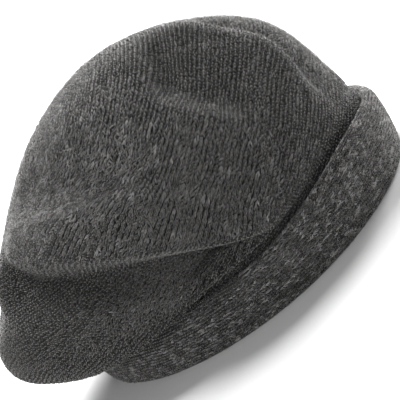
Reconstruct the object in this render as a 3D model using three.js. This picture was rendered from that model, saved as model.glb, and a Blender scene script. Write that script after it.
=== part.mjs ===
// Knitted wool beanie: a slouched crown and its turned-up cuff, as worn, resting on the cuff's fold.
// Millimetres, +Z up, +X to the forehead. The origin is on the resting surface, under the middle of the hat.
import * as THREE from 'three';

// ---- driving sizes -------------------------------------------------------------------------
const HALF_LENGTH = 100;        // opening's oval, front to back
const HALF_WIDTH = 82;          // opening's oval, side to side
const WALL = 3.0;               // knitted wall of the crown
const AXIS_FORWARD = 17.0;      // the opening's axis lies this far in front of the hat's middle
const AXIS_LEFT = 2.9;          // and this far to the left of it, because the slack bulges to the right
const AROUND = 60;              // steps round the hat
const WOOL = 0x4b4a4a;          // charcoal melange

// Stations round the opening's oval, 45 degrees apart: front, brow, side, haunch, back.
// reach = distance of the outer face from the opening's axis, height = above the resting surface.
const CROWN_SECTIONS = [
  { name: 'rim',      reach: { front: 102.0, brow: 90.4, side: 81.6, haunch:  90.6, back:  99.6 }, height: { front:   5.0, brow:   5.0, side:   5.0, haunch:   5.0, back:   5.0 } },
  { name: 'tuck',     reach: { front: 102.6, brow: 91.0, side: 82.0, haunch:  91.2, back: 100.4 }, height: { front:  20.0, brow:  20.0, side:  20.0, haunch:  20.0, back:  20.0 } },
  { name: 'mouth',     reach: { front: 100.9, brow:  89.6, side:  81.4, haunch:  91.2, back: 101.0 }, height: { front:  34.0, brow:  33.6, side:  29.6, haunch:  32.4, back:  34.0 } },
  { name: 'over',      reach: { front:  99.0, brow:  88.8, side:  82.0, haunch:  94.4, back: 105.0 }, height: { front:  40.5, brow:  40.4, side:  35.2, haunch:  39.6, back:  41.2 } },
  { name: 'drape',     reach: { front:  99.2, brow:  89.6, side:  84.8, haunch:  98.6, back: 109.4 }, height: { front:  45.6, brow:  44.6, side:  36.0, haunch:  34.6, back:  32.4 } },
  { name: 'hem',       reach: { front:  98.7, brow:  90.2, side:  87.6, haunch: 102.6, back: 115.0 }, height: { front:  50.6, brow:  49.2, side:  39.0, haunch:  26.4, back:  21.4 } },
  { name: 'lobe_low',  reach: { front:  97.4, brow:  89.6, side:  89.8, haunch: 109.0, back: 128.0 }, height: { front:  57.2, brow:  55.6, side:  46.6, haunch:  29.8, back:  25.2 } },
  { name: 'lobe_tip', reach: { front:  95.9, brow: 88.4, side: 89.2, haunch: 113.4, back: 141.4 }, height: { front:  65.2, brow:  63.2, side:  56.4, haunch:  40.6, back:  36.8 } },
  { name: 'lobe_top', reach: { front:  94.0, brow: 86.9, side: 87.4, haunch: 113.2, back: 140.8 }, height: { front:  75.0, brow:  72.0, side:  66.0, haunch:  55.0, back:  52.0 } },
  { name: 'belly',    reach: { front:  90.4, brow: 83.8, side: 84.0, haunch: 106.8, back: 130.0 }, height: { front:  88.2, brow:  85.4, side:  79.4, haunch:  71.0, back:  67.5 } },
  { name: 'shoulder', reach: { front:  82.9, brow: 76.8, side: 76.6, haunch:  95.0, back: 112.0 }, height: { front: 102.8, brow: 100.4, side:  95.8, haunch:  88.2, back:  85.4 } },
  { name: 'upper',    reach: { front:  68.2, brow: 63.6, side: 62.8, haunch:  77.0, back:  87.8 }, height: { front: 117.0, brow: 115.2, side: 112.8, haunch: 107.6, back: 105.8 } },
  { name: 'top',      reach: { front:  45.0, brow: 42.8, side: 42.0, haunch:  52.0, back:  58.6 }, height: { front: 131.2, brow: 130.3, side: 129.1, haunch: 127.3, back: 126.4 } },
  { name: 'crest',    reach: { front:  20.8, brow: 20.2, side: 19.6, haunch:  24.4, back:  27.2 }, height: { front: 140.0, brow: 139.8, side: 139.6, haunch: 139.1, back: 138.8 } },
  { name: 'apex',     reach: { front:   0.0, brow:  0.0, side:  0.0, haunch:   0.0, back:   0.0 }, height: { front: 143.0, brow: 143.0, side: 143.0, haunch: 143.0, back: 143.0 } },
];

// Folds of the slouched knit. Each follows a line through three points (along, height) of the view that it
// is seen in: the right (-Y), the left (+Y), the front or the back. Above the line a lip stands out and
// hangs over by `over`, `lipWidth` wide towards the line and `lipFar` away from it; below it a hollow runs in,
// `near` wide towards the lip and `wide` away from it. A negative lip is a valley, a negative hollow a swelling.
const FOLDS = [
  { name: 'main_fold',   seen: 'right', start: [ 18,  35], middle: [  -62,  80.5], end: [-128,  95], lip:   4.8, lipWidth:  7.2, lipFar:  6.5, hollow: 16.0, near: 6.5, wide: 26.0, over: 6.0 },
  { name: 'back_fold',   seen: 'right', start: [-14,  92], middle: [  -46,   104], end: [-104, 112], lip:  -4.2, lipWidth: 10.0, lipFar: 14.0, hollow: -4.0, near: 6.0, wide:  9.0, over: 0.0 },
  { name: 'top_fold',    seen: 'right', start: [ 12, 124], middle: [   29,   104], end: [  48,  82], lip:  -9.5, lipWidth: 10.0, lipFar: 24.0, hollow: -2.4, near: 5.0, wide:  9.0, over: 0.0 },
  { name: 'front_ridge', seen: 'front', start: [  4, 128], middle: [  -22,   106], end: [ -44,  62], lip:   3.2, lipWidth:  4.5, lipFar:  4.5, hollow:  7.5, near: 6.0, wide: 10.0, over: 2.4 },
  { name: 'left_fold',   seen: 'left',  start: [ 20,  52], middle: [  -34,    74], end: [-100,  86], lip:   2.4, lipWidth:  9.0, lipFar:  9.0, hollow:  5.5, near: 9.0, wide: 18.0, over: 2.0 },
  { name: 'left_crease', seen: 'left',  start: [ 48,  84], middle: [    6,   102], end: [ -48, 108], lip:   1.6, lipWidth:  9.0, lipFar:  9.0, hollow:  2.6, near: 8.0, wide: 12.0, over: 0.0 },
  { name: 'nape_fold',   seen: 'back',  start: [ 40,  60], middle: [   10,    76], end: [ -18,  74], lip:   1.8, lipWidth:  8.0, lipFar:  8.0, hollow:  3.4, near: 7.0, wide: 12.0, over: 1.5 },
];

// Broad dents, and bumps where the depth is negative.
const DENTS = [
  { name: 'far_dent', at: [-40,  48, 112], radius: [30, 24, 20], depth:  4.0 },
];

// The cuff's section, from the inner edge of the flattened fold, out, up the outer face, over the edge and down inside.
const CUFF_SECTION = [
  { name: 'foot_in',    reach: { front: 100.6, brow: 89.0, side: 80.2, haunch: 89.2, back:  98.4 }, height:  0.0 },
  { name: 'foot_out',   reach: { front: 103.2, brow: 91.4, side: 84.0, haunch: 91.8, back: 101.0 }, height:  0.0 },
  { name: 'turn',       reach: { front: 105.0, brow: 93.2, side: 86.0, haunch: 93.6, back: 102.8 }, height:  3.2 },
  { name: 'low',        reach: { front: 106.6, brow: 94.8, side: 87.4, haunch: 95.2, back: 104.2 }, height:  9.5 },
  { name: 'middle',     reach: { front: 108.0, brow: 96.6, side: 88.3, haunch: 96.4, back: 105.4 }, height: 18.5 },
  { name: 'high',       reach: { front: 108.6, brow: 97.4, side: 88.5, haunch: 96.8, back: 105.8 }, height: 26.5 },
  { name: 'brink',      reach: { front: 108.2, brow: 97.2, side: 87.8, haunch: 97.0, back: 106.0 }, height: 32.6 },
  { name: 'crest_out',  reach: { front: 105.4, brow: 95.0, side: 86.0, haunch: 95.2, back: 104.2 }, height: 35.8 },
  { name: 'crest_in',   reach: { front: 103.1, brow: 92.8, side: 84.3, haunch: 93.5, back: 102.6 }, height: 35.0 },
  { name: 'lip_in',     reach: { front: 101.9, brow: 91.4, side: 83.2, haunch: 92.5, back: 101.7 }, height: 31.6 },
  { name: 'inner_high', reach: { front: 103.0, brow: 91.8, side: 82.8, haunch: 92.1, back: 101.3 }, height: 26.0 },
  { name: 'inner_low',  reach: { front: 103.3, brow: 91.6, side: 82.6, haunch: 91.8, back: 101.0 }, height: 14.0 },
  { name: 'heel',       reach: { front: 102.7, brow: 91.1, side: 82.2, haunch: 91.2, back: 100.3 }, height:  4.2 },
  { name: 'foot_top',   reach: { front: 100.0, brow: 88.5, side: 79.8, haunch: 88.7, back:  97.8 }, height:  3.1 },
  { name: 'foot_tip',   reach: { front:  99.0, brow: 87.4, side: 78.6, haunch: 87.6, back:  96.6 }, height:  1.6 },
];
// The edge isn't turned up level: its height round the opening, as a share of the section's.
const CUFF_LEVEL = { front: 0.98, brow_left: 0.84, side_left: 0.86, haunch_left: 0.95, back: 1.0, haunch_right: 0.92, side_right: 0.85, brow_right: 1.12 };
const LEVEL_FROM = 4, LEVEL_TO = 26;   // heights between which that share takes over

// ---- curves --------------------------------------------------------------------------------
const STATIONS = ['front', 'brow', 'side', 'haunch', 'back'];
const MIRRORED = [0, 1, 2, 3, 4, 3, 2, 1];
const mod = (i, n) => ((i % n) + n) % n;
const cubic = (p0, p1, p2, p3, f) =>
  p1 + 0.5 * f * (p2 - p0 + f * (2 * p0 - 5 * p1 + 4 * p2 - p3 + f * (3 * (p1 - p2) + p3 - p0)));
const smooth = (a, b, x) => { const t = Math.min(1, Math.max(0, (x - a) / (b - a))); return t * t * (3 - 2 * t); };
const bell = (x) => Math.exp(-x * x);
const ovalRadius = (i) => Math.hypot(HALF_LENGTH * Math.cos(i * Math.PI / 4), HALF_WIDTH * Math.sin(i * Math.PI / 4));

// A value known at eight stations round the hat, at the angle phi.
function around(eight, phi) {
  const g = mod(phi / (Math.PI / 4), 8), i = Math.floor(g);
  return cubic(eight[mod(i - 1, 8)], eight[i % 8], eight[mod(i + 1, 8)], eight[mod(i + 2, 8)], g - i);
}
const share = (reach) => MIRRORED.map((i) => reach[STATIONS[i]] / ovalRadius(i));
const level = (height) => MIRRORED.map((i) => (typeof height === 'number' ? height : height[STATIONS[i]]));
const CROWN = CROWN_SECTIONS.map((s) => ({ share: share(s.reach), height: level(s.height) }));
const CUFF = CUFF_SECTION.map((s) => ({ share: share(s.reach), height: level(s.height) }));
const onOval = (k, z, phi) => new THREE.Vector3(HALF_LENGTH * k * Math.cos(phi), HALF_WIDTH * k * Math.sin(phi), z);

// ---- crown ---------------------------------------------------------------------------------
// The unfolded outer face at angle phi and section number t. Past the apex it carries on down the other side.
function crownBase(phi, t) {
  const last = CROWN.length - 1, value = (key, i) => {
    if (i < 0) return 2 * around(CROWN[0][key], phi) - around(CROWN[1][key], phi);
    if (i > last) return (key === 'share' ? -1 : 1) * around(CROWN[2 * last - i][key], phi + Math.PI);
    return around(CROWN[i][key], phi);
  };
  const i = Math.min(Math.floor(t), last), f = t - i;
  const at = (key) => cubic(value(key, i - 1), value(key, i), value(key, i + 1), value(key, i + 2), f);
  return onOval(at('share'), at('height'), phi);
}

// The outward normal of a face given as a function of (phi, t).
function normalOf(face, phi, t, dPhi, dT) {
  const last = CROWN.length - 1;
  if (t > last - 1e-9) return new THREE.Vector3(0, 0, 1);
  const round = face(phi + dPhi, t).sub(face(phi - dPhi, t));
  const t1 = Math.min(t + dT, last), t0 = Math.max(t - dT, 0);
  return round.cross(face(phi, t1).sub(face(phi, t0))).normalize();
}

const FOLD_STEPS = 24;
// Rows of the crown's mesh: shares of the way from the cuff's mouth up to the side folds, and from there to the apex.
const ROWS_BELOW_FOLD = [0, 0.07, 0.13, 0.20, 0.29, 0.38, 0.47, 0.56, 0.65, 0.74, 0.82, 0.89, 0.95];
const ROWS_ABOVE_FOLD = [0, 0.03, 0.07, 0.115, 0.165, 0.22, 0.28, 0.345, 0.415, 0.49, 0.57, 0.65, 0.74, 0.83, 0.92];
const THINNEST = 0.93, MITRE = 1.35;   // of the wall: where the inner face is left out, and how far it is set in behind an angle
const BELOW = 2, LOWEST_GUIDE = 4.9;   // section numbers: the mouth, and the lowest row that follows a fold
const FOLD_LINES = FOLDS.map((fold) => {
  const [a0, h0] = fold.start, [a1, h1] = fold.middle, [a2, h2] = fold.end;
  const ca = 2 * a1 - (a0 + a2) / 2, ch = 2 * h1 - (h0 + h2) / 2, line = [];
  for (let i = 0; i <= FOLD_STEPS; i++) {
    const s = i / FOLD_STEPS;
    line.push([(1 - s) ** 2 * a0 + 2 * s * (1 - s) * ca + s * s * a2, (1 - s) ** 2 * h0 + 2 * s * (1 - s) * ch + s * s * h2]);
  }
  const run = (s) => [2 * (1 - s) * (ca - a0) + 2 * s * (a2 - ca), 2 * (1 - s) * (ch - h0) + 2 * s * (h2 - ch)];
  return { fold, line, run };
});

// How far above the fold's line a point of its view lies, how far along it, and which way is across.
function foldPlace({ line, run }, a, h) {
  let best = { d: Infinity };
  for (let i = 0; i < FOLD_STEPS; i++) {
    const [xa, xh] = line[i], da = line[i + 1][0] - xa, dh = line[i + 1][1] - xh, size = Math.hypot(da, dh);
    let f = ((a - xa) * da + (h - xh) * dh) / (size * size);
    f = Math.min(i === FOLD_STEPS - 1 ? 9 : 1, Math.max(i === 0 ? -9 : 0, f));
    const ea = a - xa - f * da, eh = h - xh - f * dh, d = ea * ea + eh * eh;
    if (d < best.d) best = { d, ea, eh, along: (i + f) / FOLD_STEPS };
  }
  const [ra, rh] = run(Math.min(1, Math.max(0, best.along))), size = Math.hypot(ra, rh), up = -ra < 0 ? -1 : 1;
  const na = up * rh / size, nh = -up * ra / size, side = best.ea * na + best.eh * nh;
  return { across: side < 0 ? -Math.sqrt(best.d) : Math.sqrt(best.d), along: best.along, na, nh };
}

// The section number at which a column of the crown crosses the fold of its side.
function guide(phi) {
  const crossing = ({ seen }) => {
    const place = FOLD_LINES.find(({ fold }) => fold.seen === seen);
    let low = LOWEST_GUIDE - 1.5, high = 10.8;
    for (let i = 0; i < 30; i++) {
      const middle = (low + high) / 2, p = crownBase(phi, middle);
      if (foldPlace(place, p.x, p.z).across > 0) high = middle; else low = middle;
    }
    return high;
  };
  const right = smooth(-0.25, 0.25, -Math.sin(phi));
  const t = right * crossing({ seen: 'right' }) + (1 - right) * crossing({ seen: 'left' });
  return LOWEST_GUIDE + Math.log1p(Math.exp(3 * (t - LOWEST_GUIDE))) / 3;   // never lower than the lowest
}

function crownOuter(phi, t) {
  const p = crownBase(phi, t), loose = smooth(3.7, 6.4, t);
  if (loose === 0) return p;
  const n = normalOf(crownBase, phi, t, 0.01, 0.02), move = new THREE.Vector3();
  for (const { at, radius, depth } of DENTS) {
    const away = Math.hypot((p.x - at[0]) / radius[0], (p.y - at[1]) / radius[1], (p.z - at[2]) / radius[2]);
    move.addScaledVector(n, -depth * bell(away));
  }
  for (const way of FOLD_LINES) {
    const fold = way.fold;
    const endOn = fold.seen === 'front' || fold.seen === 'back';
    const facing = { right: smooth(0, 24, -p.y), left: smooth(6, 34, p.y), front: smooth(20, 60, p.x), back: smooth(20, 60, -p.x) }[fold.seen];
    if (facing === 0) continue;
    const q = foldPlace(way, endOn ? p.y : p.x, p.z);
    const fade = smooth(-0.12, 0.2, q.along) * (1 - smooth(0.72, 1.12, q.along)) * facing;
    const low = q.across + fold.near, past = q.across - fold.lipWidth;
    const up = bell(past / (past > 0 ? fold.lipFar : fold.lipWidth)) * fade, down = bell(low > 0 ? low / fold.near : low / fold.wide) * fade;
    move.addScaledVector(n, fold.lip * up - fold.hollow * down);
    const slide = new THREE.Vector3(endOn ? 0 : q.na, endOn ? q.na : 0, q.nh);
    move.addScaledVector(slide, -fold.over * up);
  }
  return p.addScaledVector(move, loose);
}

function closedMesh(name, positions, faces, colour) {
  const geometry = new THREE.BufferGeometry();
  geometry.setAttribute('position', new THREE.Float32BufferAttribute(positions.flatMap((p) => [p.x, p.y, p.z]), 3));
  geometry.setIndex(faces.flat());
  geometry.computeVertexNormals();
  const mesh = new THREE.Mesh(geometry, new THREE.MeshStandardMaterial({ color: colour, roughness: 0.95, metalness: 0 }));
  mesh.name = name;
  return mesh;
}

// Where a line of points in one upright plane crosses itself, the points of the loop are spread along its two ends.
function straightenLoops(points) {
  const flat = (p) => [Math.hypot(p.x, p.y), p.z];
  for (let i = 0; i < points.length - 3; i++) for (let k = Math.min(i + 9, points.length - 2); k > i + 1; k--) {
    const [ax, az] = flat(points[i]), [bx, bz] = flat(points[i + 1]), [cx, cz] = flat(points[k]), [dx, dz] = flat(points[k + 1]);
    const area = (bx - ax) * (dz - cz) - (bz - az) * (dx - cx);
    const f = ((cx - ax) * (dz - cz) - (cz - az) * (dx - cx)) / area, g = ((cx - ax) * (bz - az) - (cz - az) * (bx - ax)) / area;
    if (!(f > 0 && f < 1 && g > 0 && g < 1)) continue;
    const start = points[i].clone(), end = points[k + 1].clone(), meet = start.clone().lerp(points[i + 1], f), n = k - i + 1;
    for (let m = 1; m < n; m++) {
      if (2 * m < n) points[i + m].lerpVectors(start, meet, 2 * m / n); else points[i + m].lerpVectors(meet, end, 2 * m / n - 1);
    }
    break;
  }
}

function crown() {
  const last = CROWN.length - 1, positions = [], faces = [];
  // each column's section numbers: the edge inside the cuff, up to the side's fold, and over it to the apex
  const columns = Array.from({ length: AROUND }, (_, j) => {
    const phi = 2 * Math.PI * j / AROUND, g = guide(phi);
    return [0, 1, ...ROWS_BELOW_FOLD.map((f) => BELOW + f * (g - BELOW)), ...ROWS_ABOVE_FOLD.map((f) => g + f * (last - g))];
  });
  const rows = columns[0].map((_, r) => columns.map((column, j) => ({ phi: 2 * Math.PI * j / AROUND, t: column[r] })));
  const outer = rows.map((row) => row.map(({ phi, t }) => crownOuter(phi, t)));
  const apex = crownOuter(0, last), top = apex.clone().add(new THREE.Vector3(0, 0, -WALL));
  const inner = outer.map((row) => row.map((p) => p.clone()));
  const cross = new THREE.Vector3(), nearest = new THREE.Vector3();
  for (let j = 0; j < AROUND; j++) {
    const line = outer.map((row) => row[j]);
    line.push(apex);
    const own = line.map((p, r) => {      // each point set in by a wall, square to the chords on both sides of it
      const round = (r < rows.length ? outer[r][(j + 1) % AROUND].clone().sub(outer[r][mod(j - 1, AROUND)]) : new THREE.Vector3());
      const faces = [[r - 1, r], [r, r + 1]].filter(([i, k]) => i >= 0 && k < line.length)
        .map(([i, k]) => cross.clone().crossVectors(round, line[k].clone().sub(line[i])).normalize());
      const n = faces.reduce((sum, f) => sum.add(f), new THREE.Vector3()).normalize();
      const stretch = Math.min(MITRE, 1 / Math.max(0.2, n.dot(faces[0])));
      if (r === 0) { n.z = 0; n.normalize(); }
      return p.clone().addScaledVector(n, -WALL * stretch);
    });
    // behind a tight fold such points pass each other: those that come too near the outer face are left out
    const kept = own.map((q, r) => r < 2 || line.slice(1).every((p, i) => {
      new THREE.Line3(line[i], p).closestPointToPoint(q, true, nearest);
      return nearest.distanceTo(q) > THINNEST * WALL;
    }));
    kept[rows.length] = true;
    own[rows.length] = top;
    for (let r = 0; r < rows.length; r++) {
      if (kept[r]) { inner[r][j].copy(own[r]); continue; }
      let low = r, high = r;
      while (!kept[low]) low--;
      while (!kept[high]) high++;
      inner[r][j].lerpVectors(own[low], own[high], (r - low) / (high - low));
    }
    straightenLoops(inner.map((row) => row[j]));
  }
  const side = (grid, tip, outward) => {
    const first = positions.length, n = grid.length;
    grid.forEach((row) => positions.push(...row));
    positions.push(tip);
    const face = (a, b, c) => faces.push(outward ? [a, b, c] : [a, c, b]);
    for (let r = 0; r < n; r++) for (let j = 0; j < AROUND; j++) {
      const k = (j + 1) % AROUND, a = first + r * AROUND + j, b = first + r * AROUND + k;
      if (r === n - 1) { face(a, b, first + n * AROUND); continue; }
      face(a, b, b + AROUND); face(a, b + AROUND, a + AROUND);
    }
    return first;
  };
  const a = side(outer, apex, true), b = side(inner, top, false);
  for (let j = 0; j < AROUND; j++) {      // the lower edge of the wall
    const k = (j + 1) % AROUND;
    faces.push([a + k, a + j, b + j], [a + k, b + j, b + k]);
  }
  return closedMesh('crown', positions, faces, WOOL);
}

// ---- cuff ----------------------------------------------------------------------------------
function cuff() {
  const positions = [], faces = [], n = CUFF.length;
  const edge = [CUFF_LEVEL.front, CUFF_LEVEL.brow_left, CUFF_LEVEL.side_left, CUFF_LEVEL.haunch_left,
    CUFF_LEVEL.back, CUFF_LEVEL.haunch_right, CUFF_LEVEL.side_right, CUFF_LEVEL.brow_right];
  for (let r = 0; r < n; r++) for (let j = 0; j < AROUND; j++) {
    const phi = 2 * Math.PI * j / AROUND, z = around(CUFF[r].height, phi);
    positions.push(onOval(around(CUFF[r].share, phi), z * (1 + (around(edge, phi) - 1) * smooth(LEVEL_FROM, LEVEL_TO, z)), phi));
  }
  for (let r = 0; r < n; r++) for (let j = 0; j < AROUND; j++) {
    const k = (j + 1) % AROUND, s = ((r + 1) % n) * AROUND, a = r * AROUND;
    faces.push([a + j, a + k, s + k], [a + j, s + k, s + j]);
  }
  return closedMesh('cuff', positions, faces, WOOL);
}

const beanie = new THREE.Group();
beanie.name = 'wool_beanie';
beanie.add(crown(), cuff());
beanie.position.set(AXIS_FORWARD, AXIS_LEFT, 0);
export default beanie;
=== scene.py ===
"""Wool beanie: a slouched crown and a turned-up cuff, every stitch of the outer face modelled.

The frame gives the two solids, crown and cuff. Here each gets a fine shell of the same shape, rows of
V-shaped stitches on it, and a light nap of stray fibres. Lengths are in millimetres until a mesh is made.
"""
import math
import bpy
import numpy as np
from mathutils import Matrix
from mathutils.kdtree import KDTree


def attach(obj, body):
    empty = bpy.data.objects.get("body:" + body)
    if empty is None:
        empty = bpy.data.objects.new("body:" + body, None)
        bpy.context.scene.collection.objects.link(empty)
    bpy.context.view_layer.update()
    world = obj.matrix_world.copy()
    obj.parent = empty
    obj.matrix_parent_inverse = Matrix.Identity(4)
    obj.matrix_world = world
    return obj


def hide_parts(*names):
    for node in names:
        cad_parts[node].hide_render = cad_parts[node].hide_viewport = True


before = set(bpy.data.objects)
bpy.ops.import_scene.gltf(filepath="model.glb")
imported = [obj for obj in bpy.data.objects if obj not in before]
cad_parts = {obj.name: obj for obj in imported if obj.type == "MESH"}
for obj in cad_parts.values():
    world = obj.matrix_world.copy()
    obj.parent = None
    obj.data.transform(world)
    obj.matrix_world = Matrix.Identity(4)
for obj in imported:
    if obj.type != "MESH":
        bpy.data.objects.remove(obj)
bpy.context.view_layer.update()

MM = 0.001

# ---- driving sizes: the same as the solids' ---------------------------------------------------
HALF_LENGTH, HALF_WIDTH = 100.0, 82.0          # the opening's oval
WALL = 3.0
AXIS = np.array([17.0, 2.9, 0.0])              # where the opening's axis stands
KNIT = 0.55                                    # the shell lies this far under the stitches' middle
ROW_PITCH, STITCH = 2.40, 1.95                 # crown: between rows, and along them
CUFF_PITCH, CUFF_STITCH = 1.86, 1.60

# Sections: reach from the opening's axis and height at front, brow, side, haunch, back (both sides alike).
CROWN_SECTIONS = [
    # name         reach                                   height
    ("rim",       (102.0, 90.4, 81.6,  90.6,  99.6), (  5.0,   5.0,   5.0,   5.0,   5.0)),
    ("tuck",      (102.6, 91.0, 82.0,  91.2, 100.4), ( 20.0,  20.0,  20.0,  20.0,  20.0)),
    ("mouth",     (100.9, 89.6, 81.4,  91.2, 101.0), ( 34.0,  33.6,  29.6,  32.4,  34.0)),
    ("over",      ( 99.0, 88.8, 82.0,  94.4, 105.0), ( 40.5,  40.4,  35.2,  39.6,  41.2)),
    ("drape",     ( 99.2, 89.6, 84.8,  98.6, 109.4), ( 45.6,  44.6,  36.0,  34.6,  32.4)),
    ("hem",       ( 98.7, 90.2, 87.6, 102.6, 115.0), ( 50.6,  49.2,  39.0,  26.4,  21.4)),
    ("lobe_low",  ( 97.4, 89.6, 89.8, 109.0, 128.0), ( 57.2,  55.6,  46.6,  29.8,  25.2)),
    ("lobe_tip",  ( 95.9, 88.4, 89.2, 113.4, 141.4), ( 65.2,  63.2,  56.4,  40.6,  36.8)),
    ("lobe_top",  ( 94.0, 86.9, 87.4, 113.2, 140.8), ( 75.0,  72.0,  66.0,  55.0,  52.0)),
    ("belly",     ( 90.4, 83.8, 84.0, 106.8, 130.0), ( 88.2,  85.4,  79.4,  71.0,  67.5)),
    ("shoulder",  ( 82.9, 76.8, 76.6,  95.0, 112.0), (102.8, 100.4,  95.8,  88.2,  85.4)),
    ("upper",     ( 68.2, 63.6, 62.8,  77.0,  87.8), (117.0, 115.2, 112.8, 107.6, 105.8)),
    ("top",       ( 45.0, 42.8, 42.0,  52.0,  58.6), (131.2, 130.3, 129.1, 127.3, 126.4)),
    ("crest",     ( 20.8, 20.2, 19.6,  24.4,  27.2), (140.0, 139.8, 139.6, 139.1, 138.8)),
    ("apex",      (  0.0,  0.0,  0.0,   0.0,   0.0), (143.0, 143.0, 143.0, 143.0, 143.0)),
]
FOLDS = [
    # name          seen      start          middle          end            lip  width  far hollow near wide over
    ("main_fold",   "right", ( 18.0,  35.0), (-62.0,  80.5), (-128.0,  95.0),  4.8,  7.2,  6.5, 16.0, 6.5, 26.0, 6.0),
    ("back_fold",   "right", (-14.0,  92.0), (-46.0, 104.0), (-104.0, 112.0), -4.2, 10.0, 14.0, -4.0, 6.0,  9.0, 0.0),
    ("top_fold",    "right", ( 12.0, 124.0), ( 29.0, 104.0), ( 48.0,  82.0), -9.5, 10.0, 24.0, -2.4, 5.0,  9.0, 0.0),
    ("front_ridge", "front", (  4.0, 128.0), (-22.0, 106.0), ( -44.0,  62.0),  3.2,  4.5,  4.5,  7.5, 6.0, 10.0, 2.4),
    ("left_fold",   "left",  ( 20.0,  52.0), (-34.0,  74.0), (-100.0,  86.0),  2.4,  9.0,  9.0,  5.5, 9.0, 18.0, 2.0),
    ("left_crease", "left",  ( 48.0,  84.0), (  6.0, 102.0), ( -48.0, 108.0),  1.6,  9.0,  9.0,  2.6, 8.0, 12.0, 0.0),
    ("nape_fold",   "back",  ( 40.0,  60.0), ( 10.0,  76.0), ( -18.0,  74.0),  1.8,  8.0,  8.0,  3.4, 7.0, 12.0, 1.5),
]
DENTS = [
    # name         at                        radius               depth
    ("far_dent",  (-40.0,  48.0, 112.0), (30.0, 24.0, 20.0),  4.0),
]
CUFF_SECTION = [
    # name          reach                               height
    ("foot_in",    (100.6, 89.0, 80.2, 89.2,  98.4),  0.0),
    ("foot_out",   (103.2, 91.4, 84.0, 91.8, 101.0),  0.0),
    ("turn",       (105.0, 93.2, 86.0, 93.6, 102.8),  3.2),
    ("low",        (106.6, 94.8, 87.4, 95.2, 104.2),  9.5),
    ("middle",     (108.0, 96.6, 88.3, 96.4, 105.4), 18.5),
    ("high",       (108.6, 97.4, 88.5, 96.8, 105.8), 26.5),
    ("brink",      (108.2, 97.2, 87.8, 97.0, 106.0), 32.6),
    ("crest_out",  (105.4, 95.0, 86.0, 95.2, 104.2), 35.8),
    ("crest_in",   (103.1, 92.8, 84.3, 93.5, 102.6), 35.0),
    ("lip_in",     (101.9, 91.4, 83.2, 92.5, 101.7), 31.6),
    ("inner_high", (103.0, 91.8, 82.8, 92.1, 101.3), 26.0),
    ("inner_low",  (103.3, 91.6, 82.6, 91.8, 101.0), 14.0),
    ("heel",       (102.7, 91.1, 82.2, 91.2, 100.3),  4.2),
    ("foot_top",   (100.0, 88.5, 79.8, 88.7,  97.8),  3.1),
    ("foot_tip",   ( 99.0, 87.4, 78.6, 87.6,  96.6),  1.6),
]
# Height of the cuff's edge round the opening, from the front by the left, the back and the right.
CUFF_LEVEL = (0.98, 0.84, 0.86, 0.95, 1.0, 0.92, 0.85, 1.12)
LAST = len(CROWN_SECTIONS) - 1


# ---- curves ------------------------------------------------------------------------------------
def cubic(p0, p1, p2, p3, f):
    return p1 + 0.5 * f * (p2 - p0 + f * (2 * p0 - 5 * p1 + 4 * p2 - p3 + f * (3 * (p1 - p2) + p3 - p0)))


def smooth(a, b, x):
    t = np.clip((x - a) / (b - a), 0, 1)
    return t * t * (3 - 2 * t)


def bell(x):
    return np.exp(-x * x)


def unit(v):
    return v / np.maximum(np.linalg.norm(v, axis=-1, keepdims=True), 1e-12)


OVAL = np.hypot(HALF_LENGTH * np.cos(np.arange(8) * np.pi / 4), HALF_WIDTH * np.sin(np.arange(8) * np.pi / 4))
EIGHT = [0, 1, 2, 3, 4, 3, 2, 1]


def stations(values):
    values = np.broadcast_to(np.array(values, float), 5)
    return values[EIGHT]


def table(rows):
    """(share of the oval, height) of each section at the eight stations."""
    return (np.array([stations(r[1]) / OVAL for r in rows]), np.array([stations(r[2]) for r in rows]))


def around(eight, phi, row=None):
    """The value at angle phi of a quantity known at eight stations; row picks a row of a table for each point."""
    g = np.mod(phi / (np.pi / 4), 8)
    i = np.minimum(g.astype(int), 7)
    take = (lambda k: eight[row, np.mod(i + k, 8)]) if row is not None else (lambda k: eight[np.mod(i + k, 8)])
    return cubic(take(-1), take(0), take(1), take(2), g - i)


def past_ends(T, odd):
    """The table with one row before its first and two past the apex, which are the far side's."""
    s = -1 if odd else 1
    far = lambda k: s * np.roll(T[k], 4)
    return np.vstack([2 * T[0] - T[1], T, far(LAST - 1), far(LAST - 2)])


_K, _Z = table(CROWN_SECTIONS)
CROWN_K, CROWN_Z = past_ends(_K, True), past_ends(_Z, False)


def crown_base(phi, t):
    """The unfolded outer face at angle phi and section number t."""
    phi, t = np.broadcast_arrays(phi, t)
    i = np.clip(np.floor(t).astype(int), 0, LAST)
    f = t - i
    at = lambda T: cubic(*(around(T, phi, i + k) for k in range(4)), f)
    k, z = at(CROWN_K), at(CROWN_Z)
    return np.stack([HALF_LENGTH * k * np.cos(phi), HALF_WIDTH * k * np.sin(phi), z], -1)


def normals(face, phi, t, dphi=0.01, dt=0.02):
    across = face(phi + dphi, t) - face(phi - dphi, t)
    up = face(phi, np.minimum(t + dt, LAST)) - face(phi, np.maximum(t - dt, 0))
    n = unit(np.cross(across, up))
    n[np.broadcast_to(t, n.shape[:-1]) > LAST - 1e-9] = (0, 0, 1)
    return n


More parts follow.
